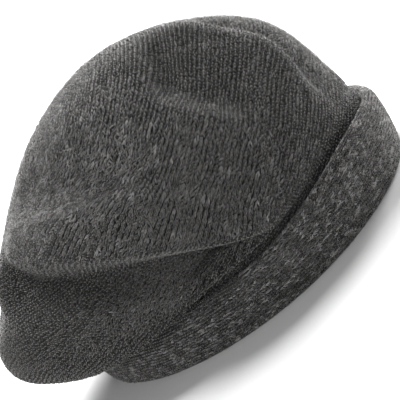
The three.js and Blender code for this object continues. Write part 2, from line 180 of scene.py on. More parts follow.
def fold_place(fold, a, h):
    """Distance above the fold's line, place along it, and the way across, in the view that shows it."""
    (a0, h0), (a1, h1), (a2, h2) = fold[2:5]
    ca, ch = 2 * a1 - (a0 + a2) / 2, 2 * h1 - (h0 + h2) / 2
    steps = 24
    s = np.linspace(0, 1, steps + 1)
    la = (1 - s) ** 2 * a0 + 2 * s * (1 - s) * ca + s * s * a2
    lh = (1 - s) ** 2 * h0 + 2 * s * (1 - s) * ch + s * s * h2
    best = np.full(a.shape, np.inf)
    ea, eh, along = np.zeros_like(a), np.zeros_like(a), np.zeros_like(a)
    for i in range(steps):
        da, dh = la[i + 1] - la[i], lh[i + 1] - lh[i]
        f = ((a - la[i]) * da + (h - lh[i]) * dh) / (da * da + dh * dh)
        f = np.clip(f, -9 if i == 0 else 0, 9 if i == steps - 1 else 1)
        xa, xh = a - la[i] - f * da, h - lh[i] - f * dh
        d = xa * xa + xh * xh
        k = d < best
        best, ea, eh, along = np.where(k, d, best), np.where(k, xa, ea), np.where(k, xh, eh), np.where(k, (i + f) / steps, along)
    c = np.clip(along, 0, 1)
    ra, rh = 2 * (1 - c) * (ca - a0) + 2 * c * (a2 - ca), 2 * (1 - c) * (ch - h0) + 2 * c * (h2 - ch)
    size = np.hypot(ra, rh)
    up = np.where(-ra < 0, -1, 1)
    na, nh = up * rh / size, -up * ra / size
    return np.where(ea * na + eh * nh < 0, -1, 1) * np.sqrt(best), along, na, nh


def crown_outer(phi, t):
    """The folded outer face."""
    phi, t = np.broadcast_arrays(np.asarray(phi, float), np.asarray(t, float))
    p, n = crown_base(phi, t), normals(crown_base, phi, t)
    move = np.zeros_like(p)
    for _, at, radius, depth in DENTS:
        away = np.linalg.norm((p - at) / radius, axis=-1)
        move -= (depth * bell(away))[..., None] * n
    for fold in FOLDS:
        name, seen, _, _, _, lip, lip_width, lip_far, hollow, near, wide, over = fold
        end_on = seen in ("front", "back")
        facing = {"right": smooth(0, 24, -p[..., 1]), "left": smooth(6, 34, p[..., 1]),
                  "front": smooth(20, 60, p[..., 0]), "back": smooth(20, 60, -p[..., 0])}[seen]
        across, along, na, nh = fold_place(fold, p[..., 1] if end_on else p[..., 0], p[..., 2])
        fade = smooth(-0.12, 0.2, along) * (1 - smooth(0.72, 1.12, along)) * facing
        low = across + near
        past = across - lip_width
        up, down = bell(np.where(past > 0, past / lip_far, past / lip_width)) * fade, bell(np.where(low > 0, low / near, low / wide)) * fade
        move += (lip * up - hollow * down)[..., None] * n
        move[..., 1 if end_on else 0] -= over * up * na
        move[..., 2] -= over * up * nh
    return p + move * smooth(3.7, 6.4, t)[..., None]


def guide(phi):
    """The section number at which each column crosses the fold of its side."""
    lowest = 4.9
    def crossing(fold):
        low, high = np.full(phi.shape, lowest - 1.5), np.full(phi.shape, 10.8)
        for _ in range(30):
            mid = (low + high) / 2
            p = crown_base(phi, mid)
            above = fold_place(fold, p[..., 0], p[..., 2])[0] > 0
            high, low = np.where(above, mid, high), np.where(above, low, mid)
        return high
    right = smooth(-0.25, 0.25, -np.sin(phi))
    t = right * crossing(FOLDS[0]) + (1 - right) * crossing(FOLDS[4])
    return lowest + np.log1p(np.exp(3 * (t - lowest))) / 3


# ---- meshes ------------------------------------------------------------------------------------
def mesh_object(name, verts, faces, material, smooth_shade=True, colour=None, uv=None):
    """A mesh from arrays in millimetres from the opening's axis. faces is an array of triangles or of quads."""
    me = bpy.data.meshes.new(name)
    verts = (np.asarray(verts, float) + AXIS) * MM
    blocks = faces if isinstance(faces, list) else [faces]
    blocks = [np.asarray(b, np.int32) for b in blocks if len(b)]
    loops = np.concatenate([b.ravel() for b in blocks])
    sizes = np.concatenate([np.full(len(b), b.shape[1]) for b in blocks])
    me.vertices.add(len(verts))
    me.vertices.foreach_set("co", verts.astype(np.float32).ravel())
    me.loops.add(len(loops))
    me.loops.foreach_set("vertex_index", loops.astype(np.int32))
    me.polygons.add(len(sizes))
    starts = np.concatenate([[0], np.cumsum(sizes)[:-1]])
    me.polygons.foreach_set("loop_start", starts.astype(np.int32))
    me.update(calc_edges=True)
    me.polygons.foreach_set("use_smooth", np.full(len(sizes), smooth_shade, bool))
    if colour is not None:
        a = me.attributes.new("wool", "FLOAT_COLOR", "POINT")
        a.data.foreach_set("color", np.asarray(colour, np.float32).ravel())
    if uv is not None:
        layer = me.uv_layers.new(name="OFBake")
        layer.data.foreach_set("uv", np.asarray(uv, np.float32).ravel())
    me.update()
    me.validate()
    o = bpy.data.objects.new(name, me)
    bpy.context.scene.collection.objects.link(o)
    me.materials.append(material)
    return o


def grid_faces(rows, cols, first=0, flip=False):
    """Quads between rows of a grid that closes round."""
    r, c = np.meshgrid(np.arange(rows - 1), np.arange(cols), indexing="ij")
    k = (c + 1) % cols
    q = np.stack([r * cols + c, r * cols + k, (r + 1) * cols + k, (r + 1) * cols + c], -1).reshape(-1, 4) + first
    return q[:, ::-1] if flip else q


# ---- rows of knitting on the crown ---------------------------------------------------------------
# Rows run round the hat parallel to each other, square to the way from the opening to the crown's real middle,
# which has slid to the upper back. One of them is an arc seen from the side; the others keep their distance from it.
ROW_CENTRE = (-112.7, 238.0)
ROW_RADIUS = 224.0


def row_arc(p):
    h = 0.9455 * p[..., 2] - 0.3256 * np.sqrt(p[..., 1] ** 2 + 12.0 ** 2)
    return np.hypot(p[..., 0] - ROW_CENTRE[0], h - ROW_CENTRE[1]) - ROW_RADIUS


def distance_field(P, start):
    """Distance over a grid surface (rows, cols closing round, 3) from the line where start is zero, with start's sign."""
    rows, cols = start.shape
    dphi = (np.roll(start, -1, 1) - np.roll(start, 1, 1)) / np.maximum(np.linalg.norm(np.roll(P, -1, 1) - np.roll(P, 1, 1), axis=-1), 1e-6)
    dt = np.zeros_like(start)
    dt[1:-1] = (start[2:] - start[:-2]) / np.maximum(np.linalg.norm(P[2:] - P[:-2], axis=-1), 1e-6)
    slope = np.maximum(np.hypot(dphi, dt), 0.25)
    D = np.where(np.abs(start) < 5.0 * slope, np.abs(start) / slope, 1e6)

    def shifted(A, dj, di):
        B = np.roll(A, -di, 1)
        if dj > 0:
            return np.concatenate([B[dj:], np.repeat(B[-1:], dj, 0)])
        if dj < 0:
            return np.concatenate([np.repeat(B[:1], -dj, 0), B[:dj]])
        return B
    ring = [(0, 1), (1, 1), (1, 0), (1, -1), (0, -1), (-1, -1), (-1, 0), (-1, 1)]
    near = {n: shifted(P, *n) for n in ring}
    ways = []
    for a, b in zip(ring, ring[1:] + ring[:1]):
        for s in (0.0, 0.25, 0.5, 0.75):
            ways.append((a, b, s, np.linalg.norm((1 - s) * near[a] + s * near[b] - P, axis=-1)))
    for _ in range(400):
        before = D.copy()
        moved = {n: shifted(D, *n) for n in ring}
        for a, b, s, size in ways:
            np.minimum(D, (1 - s) * moved[a] + s * moved[b] + size, out=D)
        D[-1] = D[-1].min()
        if np.abs(before - D).max() < 1e-3:
            break
    return np.where(start < 0, -D, D)


def refine(A, rows, cols):
    """A grid that closes round, linearly resampled."""
    r, c = A.shape
    x, y = np.arange(cols) * c / cols, np.linspace(0, r - 1, rows)
    i, j = x.astype(int), np.minimum(y.astype(int), r - 2)
    fx, fy = x - i, (y - j)[:, None]
    i2 = (i + 1) % c
    row = lambda k: A[k][:, i] * (1 - fx) + A[k][:, i2] * fx
    return row(j) * (1 - fy) + row(j + 1) * fy


def contour_chains(F, level):
    """Chains of grid-edge crossings where F passes level: each a list of (vertex a, vertex b, share), and if it closes."""
    rows, cols = F.shape
    s = F > level
    idx = np.arange(rows * cols).reshape(rows, cols)
    right = np.roll(idx, -1, 1)
    H = s != np.roll(s, -1, 1)
    V = s[:-1] != s[1:]
    Dg = s[:-1] != np.roll(s, -1, 1)[1:]
    n = rows * cols
    h, v, d = idx, idx + n, idx + 2 * n
    pairs = []
    VR = np.roll(V, -1, 1)
    vr = np.roll(v, -1, 1)
    for e1, f1, e2, f2 in ((h[:-1], H[:-1], vr[:-1], VR), (h[:-1], H[:-1], d[:-1], Dg), (vr[:-1], VR, d[:-1], Dg),
                           (d[:-1], Dg, h[1:], H[1:]), (d[:-1], Dg, v[:-1], V), (h[1:], H[1:], v[:-1], V)):
        k = f1 & f2
        pairs.append(np.stack([e1[k], e2[k]], -1))
    pairs = np.concatenate(pairs)
    link = {}
    for a, b in pairs.tolist():
        link.setdefault(a, []).append(b)
        link.setdefault(b, []).append(a)
    chains, seen = [], set()
    for start in sorted(link, key=lambda e: (len(link[e]) != 1, e)):
        if start in seen:
            continue
        chain, here = [start], start
        seen.add(start)
        while True:
            ahead = [e for e in link[here] if e not in seen]
            if not ahead:
                break
            here = ahead[0]
            seen.add(here)
            chain.append(here)
        closed = len(chain) > 3 and chain[0] in link[chain[-1]]
        chains.append((np.array(chain), closed))
    out = []
    F1 = F.ravel()
    for e, closed in chains:
        if len(e) < 4:
            continue
        kind, a = e // n, e % n
        b = np.where(kind == 0, right.ravel()[a], np.where(kind == 1, a + cols, 0))
        dk = kind == 2
        b[dk] = right.ravel()[a[dk]] + cols
        share = (level - F1[a]) / np.where(np.abs(F1[b] - F1[a]) < 1e-9, 1e-9, F1[b] - F1[a])
        out.append((a, b, np.clip(share, 0, 1), closed))
    return out


def along(points, closed, step, phase):
    """Evenly spaced places along a chain: index and share of each."""
    if closed:
        points = np.concatenate([points, points[:1]])
    run = np.concatenate([[0], np.cumsum(np.linalg.norm(np.diff(points, axis=0), axis=-1))])
    count = max(2, int(round(run[-1] / step)))
    want = (np.arange(count) + phase) * run[-1] / count
    want = np.mod(want, run[-1]) if closed else np.minimum(want, run[-1])
    i = np.clip(np.searchsorted(run, want, side="right") - 1, 0, len(run) - 2)
    f = (want - run[i]) / np.maximum(run[i + 1] - run[i], 1e-9)
    return i, f, points


def crown_rows(rng):
    """Centre, way along the row, outward normal and local pitch of every stitch on the crown."""
    coarse_phi = np.arange(200) * 2 * np.pi / 200
    coarse_t = np.linspace(1.7, LAST, 110)
    base = crown_base(coarse_phi[None, :], coarse_t[:, None])
    F = distance_field(base, row_arc(base))
    # fine grid with the folds
    cols, rows = 600, 300
    phi, t = np.arange(cols) * 2 * np.pi / cols, np.linspace(1.7, LAST, rows)
    F = refine(F, rows, cols)
    for _ in range(6):       # even out the steps of the coarse grid
        G = F.copy()
        G[1:-1] = 0.25 * (F[:-2] + 2 * F[1:-1] + F[2:])
        F = 0.25 * (np.roll(G, 1, 1) + 2 * G + np.roll(G, -1, 1))
    P = crown_outer(phi[None, :], t[:, None])
    across = np.roll(P, -1, 1) - np.roll(P, 1, 1)
    up = np.empty_like(P)
    up[1:-1], up[0], up[-1] = P[2:] - P[:-2], P[1] - P[0], P[-1] - P[-2]
    N = unit(np.cross(across, up))
    N[-1] = (0, 0, 1)
    # gradient of F over the folded face
    fa, fu = np.roll(F, -1, 1) - np.roll(F, 1, 1), np.empty_like(F)
    fu[1:-1], fu[0], fu[-1] = F[2:] - F[:-2], F[1] - F[0], F[-1] - F[-2]
    E, G_, H_ = (across * across).sum(-1), (up * up).sum(-1), (across * up).sum(-1)
    det = np.maximum(E * G_ - H_ ** 2, 1e-9)
    grad = ((fa * G_ - fu * H_) / det)[..., None] * across + ((fu * E - fa * H_) / det)[..., None] * up
    P1, N1, G1 = P.reshape(-1, 3), N.reshape(-1, 3), grad.reshape(-1, 3)
    C, T, Nn, pitch, rowno = [], [], [], [], []
    levels = np.arange(math.ceil(F.min() / ROW_PITCH) * ROW_PITCH + 0.3, F.max(), ROW_PITCH)
    for r, level in enumerate(levels):
        for a, b, share, closed in contour_chains(F, level):
            mix = lambda A: A[a] * (1 - share)[:, None] + A[b] * share[:, None]
            p, n, g = mix(P1), unit(mix(N1)), mix(G1)
            if np.linalg.norm(np.diff(p, axis=0), axis=-1).sum() < 2.5 * STITCH:
                continue
            tangent = unit(np.roll(p, -1, 0) - np.roll(p, 1, 0)) if closed else unit(np.gradient(p, axis=0))
            if (np.cross(n, tangent) * g).sum(-1).mean() < 0:
                a, b, share, p, n, g = a[::-1], b[::-1], share[::-1], p[::-1], n[::-1], g[::-1]
            i, f, q = along(p, closed, STITCH, rng.uniform(0, 1))
            wrap = lambda A: np.concatenate([A, A[:1]]) if closed else A
            nq, gq = wrap(n), wrap(g)
            c = q[i] * (1 - f)[:, None] + q[i + 1] * f[:, None]
            m = unit(nq[i] * (1 - f)[:, None] + nq[i + 1] * f[:, None])
            gg = np.linalg.norm(gq[i], axis=-1)
            tt = np.roll(c, -1, 0) - np.roll(c, 1, 0)
            if not closed:
                tt[0], tt[-1] = c[1] - c[0], c[-1] - c[-2]
            tt = unit(tt - (tt * m).sum(-1, keepdims=True) * m)
            C.append(c), T.append(tt), Nn.append(m)
            pitch.append(np.clip(ROW_PITCH / np.maximum(gg, 1e-3), 0.55 * ROW_PITCH, 1.7 * ROW_PITCH))
            rowno.append(np.full(len(c), r))
    return tuple(np.concatenate(x) for x in (C, T, Nn, pitch, rowno))


def cuff_grid(cols, per):
    """The cuff's closed section, swept round: (rows, cols, 3)."""
    K, Z = table(CUFF_SECTION)
    phi = np.arange(cols) * 2 * np.pi / cols
    k = np.array([around(row, phi) for row in K])
    z = np.array([around(row, phi) for row in Z])
    n = len(K)
    out = []
    for i in range(n):
        for j in range(per):
            f = j / per
            take = lambda A: cubic(A[(i - 1) % n], A[i], A[(i + 1) % n], A[(i + 2) % n], f)
            kk, zz = take(k), np.maximum(take(z), 0)
            zz = zz * (1 + (around(np.array(CUFF_LEVEL), phi) - 1) * smooth(4, 26, zz))
            out.append(np.stack([HALF_LENGTH * kk * np.cos(phi), HALF_WIDTH * kk * np.sin(phi), zz], -1))
    return np.array(out)


def cuff_rows(rng):
    """The same for the cuff: its rows run with the rim, from its foot up the outer face and over the edge."""
    per, cols = 16, 1440
    S = cuff_grid(cols, per)
    first, last = int(1.45 * per), int(9.6 * per)
    S = S[first:last + 1]
    across = np.roll(S, -1, 1) - np.roll(S, 1, 1)
    up = np.gradient(S, axis=0)
    N = unit(np.cross(across, up))
    run = np.concatenate([np.zeros((1, cols)), np.cumsum(np.linalg.norm(np.diff(S, axis=0), axis=-1), 0)])
    count = int(round(run[-1].mean() / CUFF_PITCH))
    C, T, Nn, pitch, rowno = [], [], [], [], []
    for r in range(count):
        share = (r + 0.5) / count
        want = run[-1] * share
        i = np.clip((run < want).sum(0) - 1, 0, len(run) - 2)
        c = np.arange(cols)
        f = ((want - run[i, c]) / np.maximum(run[i + 1, c] - run[i, c], 1e-9))[:, None]
        p, n = S[i, c] * (1 - f) + S[i + 1, c] * f, unit(N[i, c] * (1 - f) + N[i + 1, c] * f)
        k, g, q = along(p, True, CUFF_STITCH, rng.uniform(0, 1))
        nn = np.concatenate([n, n[:1]])
        width = np.concatenate([run[-1], run[-1][:1]]) / count
        cc = q[k] * (1 - g)[:, None] + q[k + 1] * g[:, None]
        m = unit(nn[k] * (1 - g)[:, None] + nn[k + 1] * g[:, None])
        tt = np.roll(cc, -1, 0) - np.roll(cc, 1, 0)
        tt = unit(tt - (tt * m).sum(-1, keepdims=True) * m)
        C.append(cc), T.append(tt), Nn.append(m), pitch.append(width[k]), rowno.append(np.full(len(cc), r))
    return tuple(np.concatenate(x) for x in (C, T, Nn, pitch, rowno))


# ---- stitches ----------------------------------------------------------------------------------
# One leg of a stitch: a short strand, thick in the middle, six corners.
LEG_FACES = np.array([[0, 2, 4], [0, 4, 3], [1, 4, 2], [1, 3, 4], [0, 5, 2], [0, 3, 5], [1, 2, 5], [1, 5, 3]])


def legs(C, T, N, pitch, rng, step, spread, ease):
    """Two slanting legs for each stitch: corners (legs, 6, 3), and grey (legs,). ease, 0 to 1, is how far the nap has
    rubbed the rows, with the painted-highlight strips counted in: there the legs lie flatter and less evenly."""
    B = np.cross(N, T)
    corners, grey = [], []
    n = len(C)
    patch = melange(C, rng)
    ease = ease[:, None]
    wander = waves(C, rng, 16.0, 3) * 0.22 * pitch
    both = rng.normal(0, 0.8 * spread, n)
    both = 0.80 * (both + np.roll(both, 1))      # the yarn's tone lasts longer than a stitch
    C = C + wander[:, None] * B
    for side in (-1, 1):
        p = pitch[:, None]
        turn = np.radians(side * 19 + rng.normal(0, 1, n) * (8 + 12 * ease[:, 0]))[:, None]
        length = (step * rng.uniform(0.74, 1.02, n))[:, None]
        width = p * rng.uniform(0.175, 0.225, n)[:, None]
        height = np.minimum(p, 1.15 * p.mean()) * rng.uniform(0.25, 0.34, n)[:, None] * (1 - 0.42 * ease)
        d = T * np.cos(turn) + B * np.sin(turn)
        e = -T * np.sin(turn) + B * np.cos(turn)
        loose = (0.10 + 0.16 * ease)
        c = C + side * 0.20 * p * B + loose * (rng.normal(0, 1, (n, 1)) * B + rng.normal(0, 1.4, (n, 1)) * T) + rng.normal(0, 0.08, (n, 1)) * N
        dip = 0.20 * height
        corners.append(np.stack([c - d * length - N * dip, c + d * length + N * dip * 0.4, c - e * width, c + e * width,
                                 c + N * height, c - N * height], 1))
        grey.append(patch * np.exp(both + rng.normal(0, 0.65 * spread, n)))
    return np.concatenate(corners), np.concatenate(grey)


def waves(P, rng, size, count):
    """A slowly varying value over space, about -1 to 1."""
    out = np.zeros(len(P))
    for _ in range(count):
        out += np.sin(P @ (unit(rng.normal(size=3)) * 2 * np.pi / (size * rng.uniform(0.7, 1.4))) + rng.uniform(0, 2 * np.pi))
    return out / math.sqrt(count)


def wear_and_painted_light(P, rng):
    """Wear of the knit, 0 to 1, most on the upper back where the nap hides the rows, with painted light: the strip
    beyond the front's ridge and the back fold's crest are set high too, which pales their colour as painted highlight.
    """
    beyond = -fold_place(FOLDS[3], P[:, 1], P[:, 2])[0]
    # The first term is wear on the upper back; the second is painted light on the strip beyond the front's ridge.
    w = smooth(92, 120, P[:, 2] - 0.12 * P[:, 0]) * (1 - 0.8 * smooth(-14, 18, P[:, 0])) + smooth(-5, 5, beyond) * smooth(45, 72, P[:, 2]) * smooth(20, 60, P[:, 0]) 
    # Painted highlight along the back fold's crest.
    ridge = (None, None, (-12.0, 87.0), (-45.0, 101.0), (-88.0, 108.5))
    across, along_ = fold_place(ridge, P[:, 0], P[:, 2])[:2]
    w += 0.8 * bell(across / 4.5) * smooth(-0.1, 0.3, along_) * (1 - smooth(0.95, 1.1, along_)) * smooth(5, -15, P[:, 1])
    return np.clip(w + 0.22 * waves(P, rng, 34.0, 5) * smooth(60, 90, P[:, 2]), 0, 1)


def nap_and_painted_shade(P, N):
    """Colour factor of the crown's knit, to 1, with painted shade and painted light: darker in the folds' hollows,
    along their lines and over the top fold's dent, on the crown just above the cuff, on downward-facing knit near it,
    on the lobe and at the far back; paler beyond the front's ridge as painted light. It also weights where the nap's
    hairs grow."""
    phi = np.arctan2(P[:, 1] / HALF_WIDTH, P[:, 0] / HALF_LENGTH)
    edge = 35.8 * around(np.array(CUFF_LEVEL), phi)
    # Painted shade: darker on the crown close above the cuff's edge.
    out = 1 - 0.93 * (1 - smooth(-1, 15 - 5 * smooth(-5, -50, P[:, 0]), P[:, 2] - edge))
    # Painted shade: darker where the knit faces downward, on the back half within about 30 mm above the cuff.
    out *= 1 - 0.75 * smooth(0.05, -0.45, N[:, 2]) * smooth(20, -10, P[:, 0]) * smooth(30, 18, P[:, 2] - edge)
    # Painted shade: darker on the lobe behind the middle, and more at the far back low down.
    out *= (1 - 0.16 * smooth(-20, -60, P[:, 0]) * smooth(88, 72, P[:, 2])) * (1 - 0.45 * smooth(-66, -108, P[:, 0]) * smooth(106, 94, P[:, 2]))
    # Painted light: paler beyond the front's ridge.
    out *= 1 + 0.55 * smooth(-4, 6, -fold_place(FOLDS[3], P[:, 1], P[:, 2])[0]) * smooth(50, 76, P[:, 2]) * smooth(45, 72, P[:, 0])
    for _, seen, start, middle, end, lip, lip_width, lip_far, hollow, near, wide, over in FOLDS:
        side = P[:, 0] if seen in ("front", "back") else P[:, 1]
        facing = smooth(-12, 12, side * (1 if seen in ("front", "left") else -1))
        across, along_ = fold_place((None, None, start, middle, end), P[:, 1] if side is P[:, 0] else P[:, 0], P[:, 2])[:2]
        fade = smooth(-0.2, 0.1, along_) * (1 - smooth(0.9, 1.2, along_)) * facing
        low, past = across + 1.3 * near, across - lip_width
        # Painted shade in each fold's hollow and along its line.
        if hollow > 0:
            out *= 1 - min(0.85, hollow / 17) * fade * bell(low / np.where(low > 0, near, 0.62 * wide))
            out *= 1 - min(0.36, hollow / 40) * fade * bell(across / 3.0)
        # Painted shade over the top fold's dent.
        if lip < -6:
            out *= 1 - 0.45 * fade * bell(past / np.where(past > 0, lip_far, lip_width))
    return out


def painted_overhang_shade(P, cover):
    """Colour factor of the cuff's knit, to 1: painted shade, darker where a crown stitch lies within about 10 mm, where
    the crown hangs over it, on the back half.
    """
    tree = KDTree(len(cover))
    for i, c in enumerate(cover.tolist()):
        tree.insert(c, i)
    tree.balance()
    away = np.array([tree.find(p)[2] for p in P.tolist()])
    return 1 - 0.93 * (1 - smooth(5, 10.5, away)) * smooth(15, -35, P[:, 0])


def melange(P, rng):
    """Slow light and dark patches of the yarn, around 1."""
    out = np.zeros(len(P))
    for size, amount in ((9.0, 0.09), (4.0, 0.13)):
        for _ in range(7):
            d = unit(rng.normal(size=3)) * 2 * np.pi / size
            out += amount * np.sin(P @ d + rng.uniform(0, 2 * np.pi)) / 2.2
    return np.exp(out)


def tone(grey, rng, level):
    """Colour of a strand: charcoal, now and then nearly black or pale."""
    pale = rng.random(len(grey)) < 0.05
    dark = rng.random(len(grey)) < 0.10
    g = level * grey * np.where(pale, 1.6, 1.0) * np.where(dark, 0.55, 1.0)
    warm = rng.normal(0, 0.02, len(grey))
    g = np.clip(g, 0.008, 0.30)
    return np.stack([g * (1.015 + warm), g, g * (0.985 - warm), np.ones_like(g)], -1)


def cells(count):
    """A square of the map for each strand, with its corners' places: (count, faces, 3, 2)."""
    side = math.ceil(math.sqrt(count))
    k = np.arange(count)
    origin = np.stack([k % side, k // side], -1) / side
    x0, x1, y0, y1, m = 0.08, 0.92, 0.08, 0.92, 0.5
    upper = {0: (x0, 0.25), 1: (x1, 0.25), 2: (m, 0.02 + y0 * 0.5), 3: (m, 0.48), 4: (m, 0.27)}
    lower = {0: (x0, 0.75), 1: (x1, 0.75), 2: (m, 0.52), 3: (m, 0.94), 5: (m, 0.73)}
    local = np.array([[(upper if 4 in f else lower)[v] for v in f] for f in LEG_FACES.tolist()])
    return (origin[:, None, None, :] + local[None] / side)


def stitch_objects(name, corners, colour, material, most=24000):
    parts = math.ceil(len(corners) / most)
    out = []
    for i, part in enumerate(np.array_split(np.arange(len(corners)), parts)):
        v = corners[part].reshape(-1, 3)
        f = (LEG_FACES[None] + (np.arange(len(part)) * 6)[:, None, None]).reshape(-1, 3)
        col = np.repeat(colour[part], 6, 0)
        out.append(mesh_object(name + "_" + "abcdefgh"[i], v, f, material, colour=col, uv=cells(len(part)).reshape(-1, 2)))
    return out


# ---- stray fibres --------------------------------------------------------------------------------
FIBRE_FACES = np.array([[0, 2, 1], [0, 1, 4], [0, 4, 3], [1, 2, 5], [1, 5, 4], [2, 0, 3], [2, 3, 5], [3, 4, 6], [4, 5, 6], [5, 3, 6]])


def fibre_cells(count):
    """A square of the map for each hair: its three sides next to each other, root to tip."""
    side = math.ceil(math.sqrt(count))
    k = np.arange(count)
    origin = np.stack([k % side, k // side], -1) / side
    local = []
    for face in FIBRE_FACES.tolist():
        wraps = any(v in (2, 5) for v in face) and any(v in (0, 3) for v in face) and 1 not in face and 4 not in face
        corner = []
        for v in face:
            column = (v % 3) + (3 if wraps and v % 3 == 0 else 0)
            if v == 6:
                column = np.mean([(w % 3) + (3 if wraps and w % 3 == 0 else 0) for w in face if w != 6])
            corner.append((0.1 + 0.8 * column / 3, (0.18, 0.55, 0.92)[0 if v < 3 else 1 if v < 6 else 2]))
        if face == [0, 2, 1]:
            corner = [(0.3, 0.04), (0.7, 0.04), (0.5, 0.12)]
        local.append(corner)
    return origin[:, None, None, :] + np.array(local)[None] / side


def fibres(name, C, T, N, count, material, rng, weight=None, length=(1.2, 3.4), radius=0.05, lift=(0.05, 0.45),
           stray=0.6, tone_=(-2.35, 0.55), base=0.62):
    """Single hairs: a bent three-sided prism each, rooted on the stitches. stray is how far they turn from the row."""
    k = rng.choice(len(C), count, p=None if weight is None else weight / weight.sum())
    c, t, n = C[k] + rng.normal(0, 0.7, (count, 3)), T[k], N[k]
    b = np.cross(n, t)
    a = (rng.normal(0, stray, count) + np.pi * rng.integers(0, 2, count))[:, None]
    flat = np.cos(a) * t + np.sin(a) * b
    side = np.cross(n, flat)
    up = rng.uniform(*lift, count)[:, None]
    L = rng.uniform(*length, count)[:, None]
    bend = rng.normal(0, 0.30, count)[:, None]
    root = c + n * (base - (n * (c - C[k])).sum(-1, keepdims=True))
    mid = root + L * 0.5 * (flat + n * up * 0.9)
    tip = root + L * (flat * 0.95 + side * bend + n * up * rng.uniform(0.2, 1.0, count)[:, None])
    r = (radius * rng.uniform(0.7, 1.3, count))[:, None]
    d = unit(mid - root)
    e1 = unit(np.cross(d, n + 0.01))
    e2 = np.cross(d, e1)
    v = []
    for centre, w in ((root, 0.8), (mid, 1.0)):
        for q in (0, 2 * np.pi / 3, 4 * np.pi / 3):
            v.append(centre + r * w * (np.cos(q) * e1 + np.sin(q) * e2))
    v.append(tip)
    v = np.stack(v, 1).reshape(-1, 3)
    v[:, 2] = np.maximum(v[:, 2], 0.15)
    f = (FIBRE_FACES[None] + (np.arange(count) * 7)[:, None, None]).reshape(-1, 3)
    g = np.exp(rng.normal(tone_[0], tone_[1], count))
    col = np.stack([g * 1.01, g, g * 0.98, np.ones(count)], -1)
    return mesh_object(name, v, f, material, colour=np.repeat(np.clip(col, 0, 1), 7, 0), uv=fibre_cells(count).reshape(-1, 2))


# ---- shells ----------------------------------------------------------------------------------------
def lined(wall, bare, inside):
    """Faces marked 1 get the inside's material: no stitches lie over them."""
    wall.data.materials.append(inside)
    wall.data.polygons.foreach_set("material_index", bare)
    return wall


def crown_shell(material, inside):
    """The wall of the crown: the outer face under its stitches, the inner face, and the edge inside the cuff."""
    cols = 200
    phi = np.arange(cols) * 2 * np.pi / cols
    g = guide(phi)
    below, above = np.linspace(0, 1, 56)[:-1], np.linspace(0, 1, 80)[:-1] ** 1.25
    t_fine = np.concatenate([[np.zeros(cols), np.ones(cols)], 2 + below[:, None] * (g - 2), g + above[:, None] * (LAST - g)])
    outer = crown_outer(phi[None, :], t_fine)
    n = normals(crown_outer, np.broadcast_to(phi, t_fine.shape), t_fine, 0.015, 0.06)
    sink = KNIT * smooth(1.2, 2.4, t_fine)[..., None]
    shell = outer - n * sink
    # inner face: fewer rows, set in by the wall column by column, leaving out what comes too near behind tight folds
    below, above = np.array([0, .07, .13, .20, .29, .38, .47, .56, .65, .74, .82, .89, .95]), np.array([0, .03, .07, .115, .165, .22, .28, .345, .415, .49, .57, .65, .74, .83, .92])
    halve = lambda a: np.interp(np.arange(2 * len(a)) / 2, np.arange(len(a) + 1), np.append(a, 1.0))
    below, above = halve(below), halve(above)
    t_few = np.concatenate([[np.zeros(cols), np.ones(cols)], 2 + below[:, None] * (g - 2), g + above[:, None] * (LAST - g)])
    line = crown_outer(phi[None, :], t_few)
    apex = crown_outer(np.zeros(1), np.full(1, float(LAST)))[0]
    line = np.concatenate([line, np.broadcast_to(apex, (1, cols, 3))])
    round_ = np.roll(line, -1, 1) - np.roll(line, 1, 1)
    seg = line[1:] - line[:-1]
    before, after = np.cross(round_[1:], seg), np.cross(round_[:-1], seg)
    face_n = np.concatenate([unit(after[:1]), unit(unit(before[:-1]) + unit(after[1:])), np.broadcast_to((0.0, 0, 1), (1, cols, 3))])
    stretch = np.minimum(1.35, 1 / np.maximum(0.2, (face_n[:-1] * unit(after)).sum(-1)))
    face_n[0, :, 2] = 0
    face_n[0] = unit(face_n[0])
    own = line.copy()
    own[:-1] -= face_n[:-1] * (WALL * stretch)[..., None]
    own[-1, :, 2] -= WALL
    rows = len(line) - 1
    inner = own.copy()
    for j in range(cols):
        a, d = line[:-1, j], line[1:, j] - line[:-1, j]
        w = own[:-1, j][:, None] - a[None]
        f = np.clip((w * d[None]).sum(-1) / np.maximum((d * d).sum(-1), 1e-9), 0, 1)
        away = np.linalg.norm(w - f[..., None] * d[None], axis=-1).min(1)
        kept = away > 0.93 * WALL
        kept[:2] = True
        good = np.append(np.nonzero(kept)[0], rows)
        for c in range(3):
            inner[:, j, c] = np.interp(np.arange(rows + 1), good, own[good, j, c])
    for _ in range(3):
        inner[3:-1] = 0.5 * inner[3:-1] + 0.125 * (inner[2:-2] + inner[4:] + np.roll(inner, 1, 1)[3:-1] + np.roll(inner, -1, 1)[3:-1])
        for j in range(cols):        # and stays behind the outer face
            w = inner[2:-1, j][:, None] - shell[None, :, j]
            near = (w * w).sum(-1).argmin(1)
            out = (w[np.arange(len(near)), near] * n[near, j]).sum(-1)
            inner[2:-1, j] -= np.maximum(out + 1.7, 0)[:, None] * n[near, j]
    inner = inner[:-1]
    m, k = len(shell), len(inner)
    verts = np.concatenate([shell.reshape(-1, 3), apex[None] - (0, 0, KNIT), inner.reshape(-1, 3), apex[None] - (0, 0, WALL)])
    tip, base = m * cols, m * cols + 1
    c = np.arange(cols)
    nxt = (c + 1) % cols
    quads = [grid_faces(m, cols), grid_faces(k, cols, base, flip=True), np.stack([nxt, c, base + c, base + nxt], -1)]
    tris = [np.stack([(m - 1) * cols + c, (m - 1) * cols + nxt, np.full(cols, tip)], -1),
            np.stack([base + (k - 1) * cols + nxt, base + (k - 1) * cols + c, np.full(cols, base + k * cols)], -1)]
    wall = mesh_object("crown_wall", verts, [np.concatenate(quads), np.concatenate(tris)], material)
    bare = np.zeros(len(wall.data.polygons), np.int32)
    bare[(m - 1) * cols:(m + k - 1) * cols] = 1
    bare[-cols:] = 1
    return lined(wall, bare, inside)


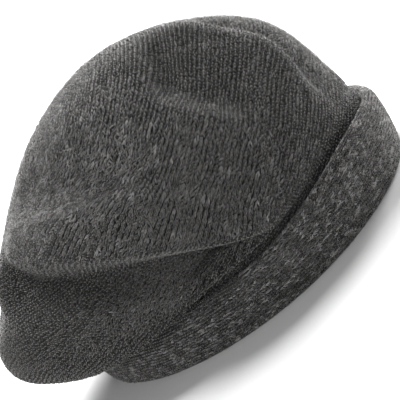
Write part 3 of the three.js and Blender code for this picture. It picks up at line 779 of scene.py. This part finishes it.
def cuff_shell(material, inside):
    per, cols = 6, 240
    S = cuff_grid(cols, per)
    across = np.roll(S, -1, 1) - np.roll(S, 1, 1)
    up = np.roll(S, -1, 0) - np.roll(S, 1, 0)
    N = unit(np.cross(across, up))
    row = np.arange(len(S)) / per
    sink = KNIT * 0.8 * (smooth(1.2, 1.9, row) * (1 - smooth(9.2, 10.0, row)))[:, None, None]
    S = S - N * sink
    q = grid_faces(len(S) + 1, cols)
    q = np.where(q >= len(S) * cols, q - len(S) * cols, q)
    band = mesh_object("cuff_band", S.reshape(-1, 3), q, material)
    place = np.repeat(np.arange(len(S)) / per, cols)
    return lined(band, ((place < 1.4) | (place > 9.5)).astype(np.int32), inside)


# ---- materials ---------------------------------------------------------------------------------
def nodes_of(name):
    m = bpy.data.materials.new(name)
    m.use_nodes = True
    t = m.node_tree
    bsdf = next(n for n in t.nodes if n.type == "BSDF_PRINCIPLED")
    bsdf.inputs["Roughness"].default_value = 0.92
    bsdf.inputs["Specular IOR Level"].default_value = 0.22
    bsdf.inputs["Sheen Weight"].default_value = 0.70
    bsdf.inputs["Sheen Roughness"].default_value = 0.45
    bsdf.inputs["Sheen Tint"].default_value = (0.75, 0.74, 0.72, 1)
    return m, t, bsdf


def strand_material(name, bump=0.25):
    """Yarn: its own grey, broken up by fine hairs of other greys."""
    m, t, bsdf = nodes_of(name)
    new, link = t.nodes.new, t.links.new
    wool = new("ShaderNodeAttribute")
    wool.attribute_name = "wool"
    place = new("ShaderNodeTexCoord")
    noise = new("ShaderNodeTexNoise")
    noise.inputs["Scale"].default_value = 1900
    noise.inputs["Detail"].default_value = 3
    link(place.outputs["Object"], noise.inputs["Vector"])
    ramp = new("ShaderNodeMapRange")
    ramp.inputs["From Min"].default_value, ramp.inputs["From Max"].default_value = 0.32, 0.68
    ramp.inputs["To Min"].default_value, ramp.inputs["To Max"].default_value = 0.5, 1.6
    link(noise.outputs["Fac"], ramp.inputs["Value"])
    mix = new("ShaderNodeVectorMath")
    mix.operation = "SCALE"
    link(wool.outputs["Color"], mix.inputs[0])
    link(ramp.outputs["Result"], mix.inputs["Scale"])
    link(mix.outputs["Vector"], bsdf.inputs["Base Color"])
    if bump:
        b = new("ShaderNodeBump")
        b.inputs["Strength"].default_value = bump
        b.inputs["Distance"].default_value = 0.0002
        link(noise.outputs["Fac"], b.inputs["Height"])
        link(b.outputs["Normal"], bsdf.inputs["Normal"])
    return m


def wall_material(name, colour):
    """The knit seen between stitches and inside the hat: mottled charcoal with fine purl bumps."""
    m, t, bsdf = nodes_of(name)
    new, link = t.nodes.new, t.links.new
    place = new("ShaderNodeTexCoord")
    spot = new("ShaderNodeTexVoronoi")
    spot.inputs["Scale"].default_value = 520
    link(place.outputs["Object"], spot.inputs["Vector"])
    noise = new("ShaderNodeTexNoise")
    noise.inputs["Scale"].default_value = 900
    noise.inputs["Detail"].default_value = 4
    link(place.outputs["Object"], noise.inputs["Vector"])
    add = new("ShaderNodeMath")
    add.operation = "ADD"
    link(spot.outputs["Distance"], add.inputs[0])
    link(noise.outputs["Fac"], add.inputs[1])
    ramp = new("ShaderNodeValToRGB")
    ramp.color_ramp.elements[0].position, ramp.color_ramp.elements[1].position = 0.55, 1.25
    ramp.color_ramp.elements[0].color = (*[c * 1.35 for c in colour], 1)
    ramp.color_ramp.elements[1].color = (*[c * 0.4 for c in colour], 1)
    link(add.outputs["Value"], ramp.inputs["Fac"])
    link(ramp.outputs["Color"], bsdf.inputs["Base Color"])
    b = new("ShaderNodeBump")
    b.inputs["Strength"].default_value = 0.5
    b.inputs["Distance"].default_value = 0.0006
    b.invert = True
    link(spot.outputs["Distance"], b.inputs["Height"])
    link(b.outputs["Normal"], bsdf.inputs["Normal"])
    return m


def plain_material(name, colour, rough=0.9):
    m = bpy.data.materials.new(name)
    m.use_nodes = True
    b = next(n for n in m.node_tree.nodes if n.type == "BSDF_PRINCIPLED")
    b.inputs["Base Color"].default_value = (*colour, 1)
    b.inputs["Roughness"].default_value = rough
    b.inputs["Specular IOR Level"].default_value = 0.2
    return m


# ---- camera and light -----------------------------------------------------------------------------
CAMERA = dict(lens=135.0, elevation=19.0, roll=40.0, mm_per_pixel=0.560, rim_middle=(252.0, 255.0))


def camera_basis():
    e, r = math.radians(CAMERA["elevation"]), math.radians(CAMERA["roll"])
    right, back = np.array([1.0, 0, 0]), np.array([0, -math.cos(e), math.sin(e)])
    up = np.cross(back, right)
    up = np.array([0, math.sin(e), math.cos(e)])
    return math.cos(r) * right - math.sin(r) * up, math.sin(r) * right + math.cos(r) * up, back


R_, U_, K_ = camera_basis()


def set_camera():
    cam = bpy.data.cameras.new("camera")
    cam.lens, cam.sensor_width = CAMERA["lens"], 36.0
    cam.clip_start, cam.clip_end = 0.05, 20
    o = bpy.data.objects.new("camera", cam)
    px, s = CAMERA["rim_middle"], CAMERA["mm_per_pixel"]
    distance = 400 * s * CAMERA["lens"] / 36
    place = -(px[0] - 200) * s * R_ + (px[1] - 200) * s * U_ + distance * K_ + AXIS
    m = np.eye(4)
    m[:3, 0], m[:3, 1], m[:3, 2], m[:3, 3] = R_, U_, K_, place * MM
    o.matrix_world = Matrix(m.tolist())
    bpy.context.scene.collection.objects.link(o)
    bpy.context.scene.camera = o


def area_light(name, way, distance, size, power, colour=(1, 1, 1)):
    light = bpy.data.lights.new(name, "AREA")
    light.shape, light.size, light.energy, light.color = "DISK", size, power, colour
    o = bpy.data.objects.new(name, light)
    way = unit(np.array(way, float))
    spot = np.array([0, 0, 0.07]) + way * distance
    z = way
    x = unit(np.cross((0, 0, 1.0), z)) if abs(z[2]) < 0.99 else np.array([1.0, 0, 0])
    y = np.cross(z, x)
    m = np.eye(4)
    m[:3, 0], m[:3, 1], m[:3, 2], m[:3, 3] = x, y, z, spot
    o.matrix_world = Matrix(m.tolist())
    bpy.context.scene.collection.objects.link(o)


def studio():
    floor_mat = plain_material("floor", (0.88, 0.88, 0.88), 1.0)
    me = bpy.data.meshes.new("floor")
    s = 6.0
    me.from_pydata([(-s, -s, 0), (s, -s, 0), (s, s, 0), (-s, s, 0)], [], [(0, 1, 2, 3)])
    floor = bpy.data.objects.new("floor", me)
    me.materials.append(floor_mat)
    bpy.context.scene.collection.objects.link(floor)
    world = bpy.data.worlds.new("studio")
    bpy.context.scene.world = world
    world.use_nodes = True
    bg = world.node_tree.nodes["Background"]
    bg.inputs["Color"].default_value = (1, 1, 1, 1)
    bg.inputs["Strength"].default_value = 0.20
    area_light("key", -0.74 * R_ + 0.70 * U_ + 0.02 * K_, 1.6, 0.7, 29)
    area_light("fill", -0.15 * R_ + 0.02 * U_ + 1.0 * K_, 1.8, 0.9, 10.5)
    area_light("rim_left", -0.66 * R_ + 0.74 * U_ - 0.90 * K_, 1.6, 0.6, 64)
    area_light("rim_right", 0.46 * R_ + 1.0 * U_ - 0.80 * K_, 1.6, 0.5, 36)
    bpy.context.scene.view_settings.view_transform = "Standard"
    bpy.context.scene.view_settings.look = "None"


# ---- build -------------------------------------------------------------------------------------
def build():
    set_camera()
    studio()
    rng = np.random.default_rng(11)
    crown_yarn, cuff_yarn = strand_material("crown_yarn"), strand_material("cuff_yarn")
    # Painted shade: the wall under the stitches gets under a third of the inside's tone, so the grooves between legs
    # read dark.
    wall = wall_material("groove_shade_wall", (0.017, 0.0166, 0.0162))
    nap = strand_material("nap", bump=0)
    inside = wall_material("knit_inside", (0.060, 0.059, 0.057))
    shell, band = crown_shell(wall, inside), cuff_shell(wall, inside)
    C, T, N, pitch, rowno = crown_rows(rng)
    ease, nap_and_shade = wear_and_painted_light(C, rng), nap_and_painted_shade(C, N)
    corners, grey = legs(C, T, N, pitch, rng, STITCH, 0.50, np.maximum(ease, 0.38))
    # Painted shade and painted light enter the crown's stitch colour here, through both factors above.
    crown_parts = stitch_objects("crown_stitches", corners, tone(grey * np.tile(nap_and_shade * (0.82 + 0.80 * ease), 2), rng, 0.060), crown_yarn)
    c2, t2, n2, pitch2, row2 = cuff_rows(rng)
    corners2, grey2 = legs(c2, t2, n2, pitch2, rng, CUFF_STITCH, 0.88, np.full(len(c2), 0.10))
    corners2[..., 2] = np.maximum(corners2[..., 2], 0.05)
    # Painted shade: cuff stitches near the crown's overhang are darkened; the same factor thins the cuff's hairs there.
    under = painted_overhang_shade(c2, C)
    cuff_parts = stitch_objects("cuff_stitches", corners2, tone(grey2 * np.tile(under, 2), rng, 0.063), cuff_yarn)
    # hairs lying on the knit, then ones that stand off it and catch the light at the outline
    hairs = [fibres("crown_hair", C, T, N, 17500, nap, rng, (0.35 + 1.3 * ease) * nap_and_shade ** 2),
             fibres("crown_nap", C, T, N, 12000, nap, rng, (0.25 + 1.6 * ease) * nap_and_shade ** 2, (1.4, 3.4), 0.036, (0.35, 1.1), 1.6, (-1.75, 0.35), 0.3),
             fibres("crown_strays", C, T, N, 60, nap, rng, None, (4.0, 8.0), 0.034, (0.15, 0.5), 1.6, (-1.6, 0.3), 0.6),
             fibres("crown_fuzz", C, T, N, 6500, nap, rng, (1.05 - ease) * nap_and_shade, (1.0, 2.6), 0.040, (0.05, 0.35), 0.9, (-2.6, 0.6), 0.55)]
    cuff_hairs = [fibres("cuff_hair", c2, t2, n2, 7500, nap, rng, under ** 2, (0.9, 2.2), 0.045, (0.05, 0.4), 0.6, (-2.3, 0.8), 0.45)]
    print("stitches", len(C), len(c2), "triangles of stitches", 16 * len(C), 16 * len(c2))
    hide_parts("crown")
    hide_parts("cuff")
    for o in [shell] + crown_parts + hairs:
        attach(o, "root")
    for o in [band] + cuff_parts + cuff_hairs:
        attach(o, "root")


build()
